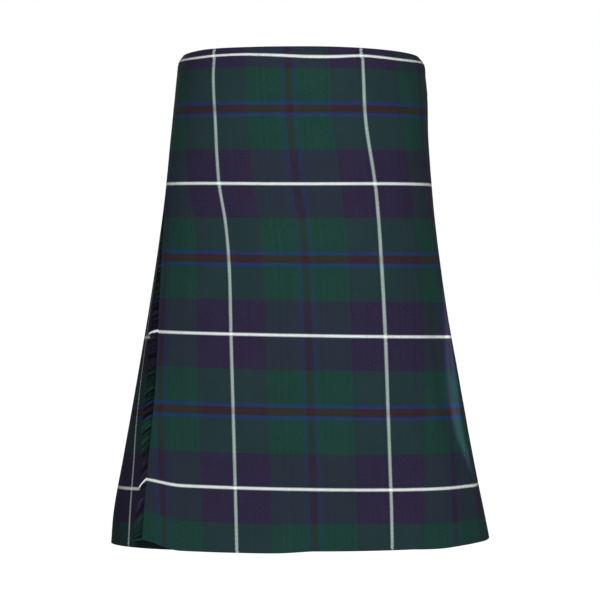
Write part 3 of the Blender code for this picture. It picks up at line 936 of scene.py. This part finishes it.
def fringe():
    """Drawn-out threads, lying in loose tufts that hang down and out."""
    points, faces, cloth, shade = [], [], [], []
    count = 1500
    for i in range(count):
        share = (i + RNG.uniform(-0.3, 0.3)) / count
        level = TOP + (HEM - TOP) * min(max(share, 0.0), 1.0)
        row = lines(round(level, 4))
        start = girth(level) + row["edge"] - 0.0006
        _, v = apron_uv(-row["edge"], level)
        off = (v + SETT_V / 2) % SETT_V - SETT_V / 2
        white = abs(off) < WHITE_PART[1] * SETT_V / 2
        tuft = wander(level * 165.0, 0.3, 6)
        tuft2 = wander(level * 900.0, 1.7, 12)
        loose = smooth((-level - 0.15) / 0.18)
        long = smooth((-level - 0.24) / 0.08) * (1.0 - smooth((-level - 0.45) / 0.06))
        reach = FRINGE * min(RNG.uniform(0.80, 1.0) + 0.13 * tuft, 1.03) * (0.80 + 0.20 * loose + 0.48 * long)
        hang = 0.15 + 0.08 * smooth((-level - 0.15) / 0.19) + 0.27 * smooth((-level - 0.36) / 0.06) \
            + 0.55 * smooth((-level - 0.44) / 0.05)
        if not white:
            hang *= 1.0 + 0.22 * tuft2 + 0.15 * RNG.uniform(-1, 1)
        if white:
            reach *= 0.90 + 0.22 * long
            hang *= 0.86
        drop = min(reach * hang, 0.7 * (level - HEM) + 0.002)
        curl = RNG.uniform(-0.0004, 0.0004)
        stand = 0.0007 * loose * tuft2 + 0.0008 * long
        line = []
        steps = 6
        for j in range(steps):
            t = j / (steps - 1)
            q = start + reach * (t ** 0.95)
            depth = CLOTH / 2 + 0.0003 + 0.0005 * t + curl * math.sin(4.0 * t) * t \
                - (0.0006 * loose + stand) * math.sin(math.pi * t)
            z_down = drop * (t ** 1.1)
            if white:
                z_down -= off * 0.12 * math.sin(math.pi * min(t * 1.1, 1.0)) + 0.0013
            x, y, z = place(q, depth, level)
            z += corner_lift(min(q, girth(level) + row["edge"]), level) - z_down
            line.append(Vector((x, y, max(z, HEM + 0.0004))))
        thick = RNG.uniform(0.00020, 0.00030) * (1.80 if white else 1.0)
        used = tube(points, faces, line, [thick] * (steps - 2) + [thick * 0.9, thick * 0.6], 3)
        # Painted light and shade on the tufts: brightness rises and falls with the tufts, over a random tone of
        # each thread.
        dark = 1.0 if white else max(0.80 + 2.0 * tuft2 + 0.5 * tuft + RNG.uniform(-0.5, 0.5), 0.08)
        for j in range(steps):
            t = j / (steps - 1)
            cloth += [(i * 0.0013, v)] * 3
            # lighter flecks along each thread: partly random tone of the yarn, partly painted light on the
            # strands
            fleck = 1.0 if white else 1.0 + 0.9 * wander(level * 520.0 + t * 3.0, t * 5.0, 21)
            # painted shade at the threads' roots, under the apron's edge
            root = 1.0 if white else 0.10 + 0.90 * smooth((t + 0.05) / 0.35)
            shade += [dark * max(fleck, 0.2) * root] * 3
        assert used == steps * 3
    return make("apron_fringe_threads", points, faces, tartan("fringe_yarn", threads=True, edge_shade=True),
                cloth, shade, sharp=80.0)


threads = fringe()
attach(threads, "root")
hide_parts("apron_fringe")

# ------------------------------------------------------------------ fastenings
OUTER_BAR = (0.0450, 0.0044)
HEEL_BAR = (0.0730, 0.0035)
SLOT = (0.0580, 0.0725)
STRAP_COLUMNS = ("a", "h", "thick")
STRAP_PATH = ((0.0000, 0.0005, 0.0008), (0.0110, 0.0005, 0.0008), (0.0200, 0.0008, 0.0010),
              (0.0330, 0.0015, 0.0018), (0.0470, 0.0017, 0.0020), (0.0520, 0.0020, 0.0020),
              (0.0580, 0.0038, 0.0020), (0.0655, 0.0062, 0.0020), (0.0725, 0.0078, 0.0020),
              (0.0765, 0.0077, 0.0020), (0.0830, 0.0063, 0.0020), (0.0890, 0.0049, 0.0020),
              (0.0990, 0.0048, 0.0020), (0.1100, 0.0047, 0.0020), (0.1180, 0.0024, 0.0020),
              (0.1280, 0.0018, 0.0020), (0.1350, 0.0018, 0.0020))
TAB_END = 0.1060


def laid_on(side):
    if side == "right":
        start, sign = LINES[0][1] + FRINGE + 0.0092, 1.0
    else:
        start, sign = girth(STRAP_LEVEL) - lines(STRAP_LEVEL)["apron_fold"] - 0.0006, -1.0

    def put(a, b, h):
        level = STRAP_LEVEL + b
        q = (start + sign * a) / girth(STRAP_LEVEL)
        if side == "left":
            drop = lines(level)["apron_q"] / girth(level) \
                - lines(STRAP_LEVEL)["apron_q"] / girth(STRAP_LEVEL)
            q += drop * max(1.0 - a / 0.03, 0.0)
        return place(q * girth(level), -h, level)
    return put


def ribbon(name, path, thick, half_at, slot_at, mat, put, round_by=0.00035):
    """A bent strip with softened edges. path holds (a, h); thick and half_at
    give its thickness and half width; slot_at(a) is half the slot's width."""
    run = [0.0]
    for p, r in zip(path, path[1:]):
        run.append(run[-1] + math.hypot(r[0] - p[0], r[1] - p[1]))
    normals = []
    for i in range(len(path)):
        p, r = path[max(i - 1, 0)], path[min(i + 1, len(path) - 1)]
        length = math.hypot(r[0] - p[0], r[1] - p[1])
        normals.append((-(r[1] - p[1]) / length, (r[0] - p[0]) / length))
    points, faces = [], []
    rows = []
    for i, (a, h) in enumerate(path):
        half = half_at(run[i], run[-1], a)
        gap = slot_at(i)
        t = (thick(i) if callable(thick) else thick) / 2
        e = min(round_by, 0.45 * half)
        across = [-half, -half + 0.4 * e, -half + 1.6 * e, -0.66 * half, -0.36 * half, -gap,
                  gap, 0.36 * half, 0.66 * half, half - 1.6 * e, half - 0.4 * e, half]
        deep = [0.45, 0.88, 1.0, 1.0, 1.0, 1.0, 1.0, 1.0, 1.0, 1.0, 0.88, 0.45]
        n = normals[i]
        row = []
        for sgn in (1, -1):
            line = []
            for b, d in zip(across, deep):
                line.append(len(points))
                points.append(put(a + n[0] * t * d * sgn, b, h + n[1] * t * d * sgn))
            row.append(line)
        rows.append(row)
    m = 12
    mid = 5

    def cut(i):
        return slot_at(i) > 0.0006 and slot_at(i + 1) > 0.0006

    for i in range(len(path) - 1):
        for j in range(m - 1):
            if j == mid and cut(i):
                continue
            for s in (0, 1):
                faces.append((rows[i][s][j], rows[i][s][j + 1],
                              rows[i + 1][s][j + 1], rows[i + 1][s][j]))
        sides = [0, m - 1]
        if cut(i):
            sides += [mid, mid + 1]
        for j in sides:
            faces.append((rows[i][0][j], rows[i][1][j], rows[i + 1][1][j], rows[i + 1][0][j]))
        if not cut(i) and i > 0 and cut(i - 1):
            faces.append((rows[i][0][mid], rows[i][0][mid + 1], rows[i][1][mid + 1], rows[i][1][mid]))
        if cut(i) and not (i > 0 and cut(i - 1)):
            faces.append((rows[i][0][mid], rows[i][0][mid + 1], rows[i][1][mid + 1], rows[i][1][mid]))
    for i in (0, len(path) - 1):
        for j in range(m - 1):
            if j == mid and slot_at(i) > 0.0006:
                continue
            faces.append((rows[i][0][j], rows[i][0][j + 1], rows[i][1][j + 1], rows[i][1][j]))
    return make(name, points, faces, mat, sharp=60.0)


def fine(path, step, columns=2):
    """A smooth finer run of points through a path."""
    out = []
    n = len(path)
    for i in range(n - 1):
        p0, p1, p2, p3 = path[max(i - 1, 0)], path[i], path[i + 1], path[min(i + 2, n - 1)]
        length = math.hypot(p2[0] - p1[0], p2[1] - p1[1])
        count = max(int(length / step), 1)
        for k in range(count):
            t = k / count
            out.append(tuple(0.5 * (2 * p1[c] + (p2[c] - p0[c]) * t
                                    + (2 * p0[c] - 5 * p1[c] + 4 * p2[c] - p3[c]) * t * t
                                    + (3 * p1[c] - p0[c] - 3 * p2[c] + p3[c]) * t ** 3)
                             for c in range(columns)))
    out.append(tuple(path[-1][:columns]))
    return out


def arc(centre, radius, start, stop, step):
    out, w = [], start
    while (w - stop) * step <= 1e-9:
        out.append((centre[0] + radius * math.cos(math.radians(w)),
                    centre[1] + radius * math.sin(math.radians(w))))
        w += step
    return out


black = leather("strap_leather", (0.0125, 0.0115, 0.0110), 0.40)
steel = metal("buckle_steel")
thread_mat = plain("strap_thread", (0.022, 0.021, 0.020), 0.75)
hole_shade_mat = plain("hole_painted_shade", (0.003, 0.003, 0.003), 0.9)


def bar_between(name, centres, radii, mat, sides=10, closed=False, flat=1.0):
    """A round bar through given points."""
    points, faces = [], []
    n = len(centres)
    up = None
    for i, c in enumerate(centres):
        a = centres[i - 1] if (closed or i) else c
        b = centres[(i + 1) % n] if (closed or i < n - 1) else c
        d = (b - a).normalized()
        if up is None:
            up = Vector((0.0, 0.0, 1.0)) if abs(d.z) < 0.7 else Vector((0.0, 1.0, 0.0))
        up = (up - up.dot(d) * d).normalized()
        side = d.cross(up)
        for k in range(sides):
            w = 2.0 * math.pi * k / sides
            points.append(c + radii[i] * (math.cos(w) * side * flat + math.sin(w) * up))
    steps = n if closed else n - 1
    for i in range(steps):
        for k in range(sides):
            a, b = i * sides + k, i * sides + (k + 1) % sides
            c, d = (i + 1) % n * sides + (k + 1) % sides, (i + 1) % n * sides + k
            faces.append((a, b, c, d))
    if not closed:
        faces.append(tuple(range(sides)))
        faces.append(tuple((n - 1) * sides + k for k in range(sides)))
    return points, faces


def stitch_row(points, faces, put, spots, height, along, length=0.0022, radius=0.00022):
    """Short sewn stitches: small bowed threads lying on the leather."""
    for a, b in spots:
        line = []
        for t in (-0.5, -0.25, 0.0, 0.25, 0.5):
            da, db = along[0] * t * length, along[1] * t * length
            h = height(a + da) + 0.00010 - 0.00030 * (2.0 * abs(t)) ** 3
            line.append(Vector(put(a + da, b + db, h)))
        tube(points, faces, line, [radius * k for k in (0.7, 1.0, 1.05, 1.0, 0.7)], 6)


def fastening(side):
    put = laid_on(side)
    half = STRAP_WIDTH / 2
    path3 = fine(STRAP_PATH, 0.0011, 3)
    path = [p[:2] for p in path3]

    def strap_half(run, total, a):
        left = total - run
        if left >= 0.0165:
            return half
        t = 1.0 - left / 0.0165
        return max(half * (1.0 - 0.74 * t ** 1.6), 0.0022) * (1.0 if left > 0.0006 else 0.86)

    def strap_slot(i):
        a = path[i][0]
        return 0.0018 if SLOT[0] - 1e-4 <= a <= SLOT[1] + 1e-4 else 0.0004

    pieces = []
    strap = ribbon("strap_leather_" + side, path, lambda i: path3[i][2], strap_half, strap_slot,
                   black, put)
    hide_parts("strap_" + side)
    pieces.append(("leather", strap))

    def top_of(a):
        for p, r in zip(path3, path3[1:]):
            if p[0] <= a <= r[0]:
                t = (a - p[0]) / max(r[0] - p[0], 1e-9)
                return (p[1] + (r[1] - p[1]) * t) + 0.5 * (p[2] + (r[2] - p[2]) * t)
        return path3[-1][1] + 0.5 * path3[-1][2]

    # sewing at the strap's root, and a line along each edge
    points, faces = [], []
    rows = [((0.0024 + 0.0030 * k, s * (half - 0.0022)), (1, 0)) for k in range(12) for s in (-1, 1)]
    rows += [((a, -half + 0.0040 + 0.0029 * k), (0, 1)) for a in (0.0018, 0.0190) for k in range(6)]
    rows += [((0.0400 + 0.0032 * k, s * (half - 0.0020)), (1, 0)) for k in range(24) for s in (-1, 1)
             if 0.0400 + 0.0032 * k < 0.0430 or 0.1030 < 0.0400 + 0.0032 * k < 0.1150]
    for spot, along in rows:
        stitch_row(points, faces, put, [spot], top_of, along)
    sewn = make("strap_stitches_" + side, points, faces, thread_mat, sharp=80.0)
    pieces.append(("leather", sewn))

    # spare holes: eyes along the strap's middle, each a near-black disc, painted shade in place of a hole cut
    # through
    points, faces = [], []
    for a in (0.0270, 0.1062, 0.1150, 0.1240):
        base = len(points)
        ring = 14
        for radius, lift in ((0.00175, 0.00006), (0.00150, 0.00012), (0.00125, 0.00006)):
            for k in range(ring):
                w = 2 * math.pi * k / ring
                da = radius * math.cos(w)
                points.append(put(a + da, radius * math.sin(w), top_of(a + da) + lift))
        for j in (0, 1):
            for k in range(ring):
                p, r = base + j * ring + k, base + j * ring + (k + 1) % ring
                faces.append((p, r, r + ring, p + ring))
        faces.append(tuple(base + 2 * ring + k for k in range(ring)))
    holes = make("strap_holes_" + side, points, faces, hole_shade_mat, sharp=80.0)
    pieces.append(("leather", holes))

    loop = WIRE + 0.0003 + TAB_THICK / 2
    low, lid = 0.0011, 0.00275
    tab = fine([(TAB_END, low), (0.0980, low), (0.0900, low), (0.0815, low + 0.0004)], 0.0016)[:-1]
    tab += arc(HEEL_BAR, loop, -80.0, -262.0, -14.0)
    tab += fine([(0.0790, 0.0049), (0.0825, 0.0039), (0.0870, lid), (0.0960, lid), (TAB_END, lid)], 0.0016)

    def tab_slot(i):
        return 0.0020 if tab[i][0] < 0.0805 else 0.0004
    tab_obj = ribbon("buckle_tab_" + side, tab, TAB_THICK, lambda run, total, a: half,
                     tab_slot, black, put, 0.00028)
    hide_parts("tab_" + side)
    pieces.append(("leather", tab_obj))

    # the frame
    (a0, h0), (a1, h1) = OUTER_BAR, HEEL_BAR
    corner = 0.0045
    centres = []
    for ca, cb, turn in ((a1 - corner, BUCKLE_HALF - corner, 0.0),
                         (a0 + corner, BUCKLE_HALF - corner, 90.0),
                         (a0 + corner, -BUCKLE_HALF + corner, 180.0),
                         (a1 - corner, -BUCKLE_HALF + corner, 270.0)):
        for step in range(0, 91, 10):
            w = math.radians(turn + step)
            a, b = ca + corner * math.cos(w), cb + corner * math.sin(w)
            centres.append(Vector(put(a, b, h0 + (h1 - h0) * (a - a0) / (a1 - a0))))
    points, faces = bar_between("frame", centres, [WIRE] * len(centres), steel, 14, closed=True)
    ring = make("buckle_frame_" + side, points, faces, steel, sharp=60.0)
    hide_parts("buckle_" + side)
    pieces.append(("buckle_metal", ring))

    # the prong: round it, over the heel bar and out across the outer bar
    pin = arc(HEEL_BAR, WIRE + 0.0003 + 0.0005, -40.0, -262.0, -14.0)
    pin += fine([(0.0705, 0.0060), (0.0640, 0.0063), (0.0560, 0.0063), (0.0480, 0.0066),
                 (0.0425, OUTER_BAR[1] + WIRE + 0.0008)], 0.0012)
    centres = [Vector(put(a, 0.0, h)) for a, h in pin]
    total = len(pin)
    radii = [0.00058 if i < total - 6 else 0.00058 - 0.00004 * (i - total + 6) for i in range(total)]
    points, faces = bar_between("prong", centres, radii, steel, 10, flat=1.9)
    prong = make("buckle_prong_" + side, points, faces, steel, sharp=60.0)
    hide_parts("prong_" + side)
    pieces.append(("buckle_metal", prong))

    # the keeper, a leather loop over strap and tab
    top = 0.0048 + 0.0010 + 0.0003 + TAB_THICK / 2
    foot = half + 0.0003 + TAB_THICK / 2
    bend = 0.0012
    across = [(-foot, 0.0006), (-foot, 0.5 * top), (-foot, top - bend)]
    across += [(-foot + bend - bend * math.cos(math.radians(w)), top - bend + bend * math.sin(math.radians(w)))
               for w in (30, 60, 90)]
    across += [(-0.5 * foot, top), (0.0, top + 0.0001), (0.5 * foot, top)]
    across += [(foot - bend + bend * math.sin(math.radians(w)), top - bend + bend * math.cos(math.radians(w)))
               for w in (0, 30, 60)]
    across += [(foot, top - bend), (foot, 0.5 * top), (foot, 0.0006)]

    def put_keeper(b_along, a_across, h):
        return put(0.09625 + a_across, b_along, h)
    keeper = ribbon("keeper_loop_" + side, across, TAB_THICK, lambda run, total, a: 0.00375,
                    lambda i: 0.0003, black, put_keeper, 0.00025)
    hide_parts("keeper_" + side)
    pieces.append(("leather", keeper))

    for slot, obj in pieces:
        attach(obj, "root")
    return pieces


for which in ("right", "left"):
    fastening(which)


# ------------------------------------------------------------- cloth cut sizes printed
def cut_of(path_at, levels):
    """The cut's width at its widest, its length and its flat area."""
    widths = [path_length([p[:2] for p in path_at(level)]) for level in levels]
    area = sum(0.5 * (a + b) * abs(l0 - l1)
               for a, b, l0, l1 in zip(widths, widths[1:], levels, levels[1:]))
    return max(widths), abs(levels[0] - levels[-1]), area


for obj, path_at, sewn_to in ((apron, apron_path, band), (under, under_path, band), (pleats, pleat_path, band)):
    wide, long, area = cut_of(path_at, spread(TOP, HEM, 25))
    print("CUT", obj.name, round(wide, 4), round(long, 4), round(area, 4))
band_length = girth(SEAM) + LINES[0][1] + UNDER_END[0]

# ------------------------------------------------------------ floor and light
stage_mat = bpy.data.materials.new("pale_floor")
stage_mat.use_nodes = True
stage_shader = stage_mat.node_tree.nodes["Principled BSDF"]
stage_shader.inputs["Base Color"].default_value = (0.62, 0.62, 0.62, 1)
stage_shader.inputs["Roughness"].default_value = 0.9
stage_glow = stage_mat.node_tree.nodes.new("ShaderNodeEmission")
stage_glow.inputs["Strength"].default_value = 1.12
stage_ray = stage_mat.node_tree.nodes.new("ShaderNodeLightPath")
stage_pick = stage_mat.node_tree.nodes.new("ShaderNodeMixShader")
stage_far = stage_mat.node_tree.nodes.new("ShaderNodeMath")
stage_far.operation = "MULTIPLY"
stage_far.inputs[1].default_value = 0.93
stage_links = stage_mat.node_tree.links
stage_links.new(stage_ray.outputs["Is Camera Ray"], stage_far.inputs[0])
stage_links.new(stage_far.outputs[0], stage_pick.inputs[0])
stage_links.new(stage_shader.outputs[0], stage_pick.inputs[1])
stage_links.new(stage_glow.outputs[0], stage_pick.inputs[2])
stage_links.new(stage_pick.outputs[0], stage_mat.node_tree.nodes["Material Output"].inputs["Surface"])
FLOOR = HEM - 0.50
size = 600.0
floor_mesh = bpy.data.meshes.new("floor")
floor_mesh.from_pydata([(-size, -size, FLOOR), (size, -size, FLOOR), (size, size, FLOOR), (-size, size, FLOOR)],
                       [], [(0, 1, 2, 3)])
floor_mesh.materials.append(stage_mat)
floor = bpy.data.objects.new("floor", floor_mesh)
bpy.context.scene.collection.objects.link(floor)
floor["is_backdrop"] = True

world = bpy.data.worlds.new("studio")
bpy.context.scene.world = world
world.use_nodes = True
wt = world.node_tree
back = wt.nodes["Background"]
back.inputs["Color"].default_value = (1, 1, 1, 1)
back.inputs["Strength"].default_value = 0.07
seen = wt.nodes.new("ShaderNodeBackground")
seen.inputs["Color"].default_value = (1, 1, 1, 1)
seen.inputs["Strength"].default_value = 1.0
ray = wt.nodes.new("ShaderNodeLightPath")
pick = wt.nodes.new("ShaderNodeMixShader")
wt.links.new(ray.outputs["Is Camera Ray"], pick.inputs[0])
wt.links.new(back.outputs[0], pick.inputs[1])
wt.links.new(seen.outputs[0], pick.inputs[2])
wt.links.new(pick.outputs[0], wt.nodes["World Output"].inputs["Surface"])


def soft_light(name, where, aim, size, power):
    light = bpy.data.lights.new(name, "AREA")
    light.shape = "RECTANGLE"
    light.size, light.size_y = size
    light.energy = power
    obj = bpy.data.objects.new(name, light)
    obj.location = where
    obj.rotation_euler = (Vector(aim) - Vector(where)).to_track_quat("-Z", "Y").to_euler()
    bpy.context.scene.collection.objects.link(obj)


soft_light("key", (0.10, -2.7, 0.9), (0, 0, -0.25), (0.9, 0.9), 51.0)
soft_light("fill", (-0.15, -3.2, 0.0), (0, 0, -0.3), (1.0, 1.0), 28.0)
soft_light("side", (1.9, -0.5, -0.2), (0.2, 0, -0.35), (0.5, 1.0), 2.5)
soft_light("back_fill", (-0.6, 3.0, 1.2), (0, 0, -0.3), (2.0, 2.0), 40.0)

camera_data = bpy.data.cameras.new("camera")
camera_data.sensor_width = 36.0
camera_data.lens = 97.98
camera_data.clip_start = 0.05
camera = bpy.data.objects.new("camera", camera_data)
camera.location = (-0.0035, -2.10, -0.3016)
camera.rotation_euler = (math.radians(90), 0, 0)
bpy.context.scene.collection.objects.link(camera)
bpy.context.scene.camera = camera
bpy.context.scene.view_settings.view_transform = "Standard"
bpy.context.scene.view_settings.look = "None"

plain_box = lambda box: [[float(c) for c in corner] for corner in box]
str({"cad": plain_box(cad_box), "visual": plain_box(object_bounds())}).replace("'", '"')
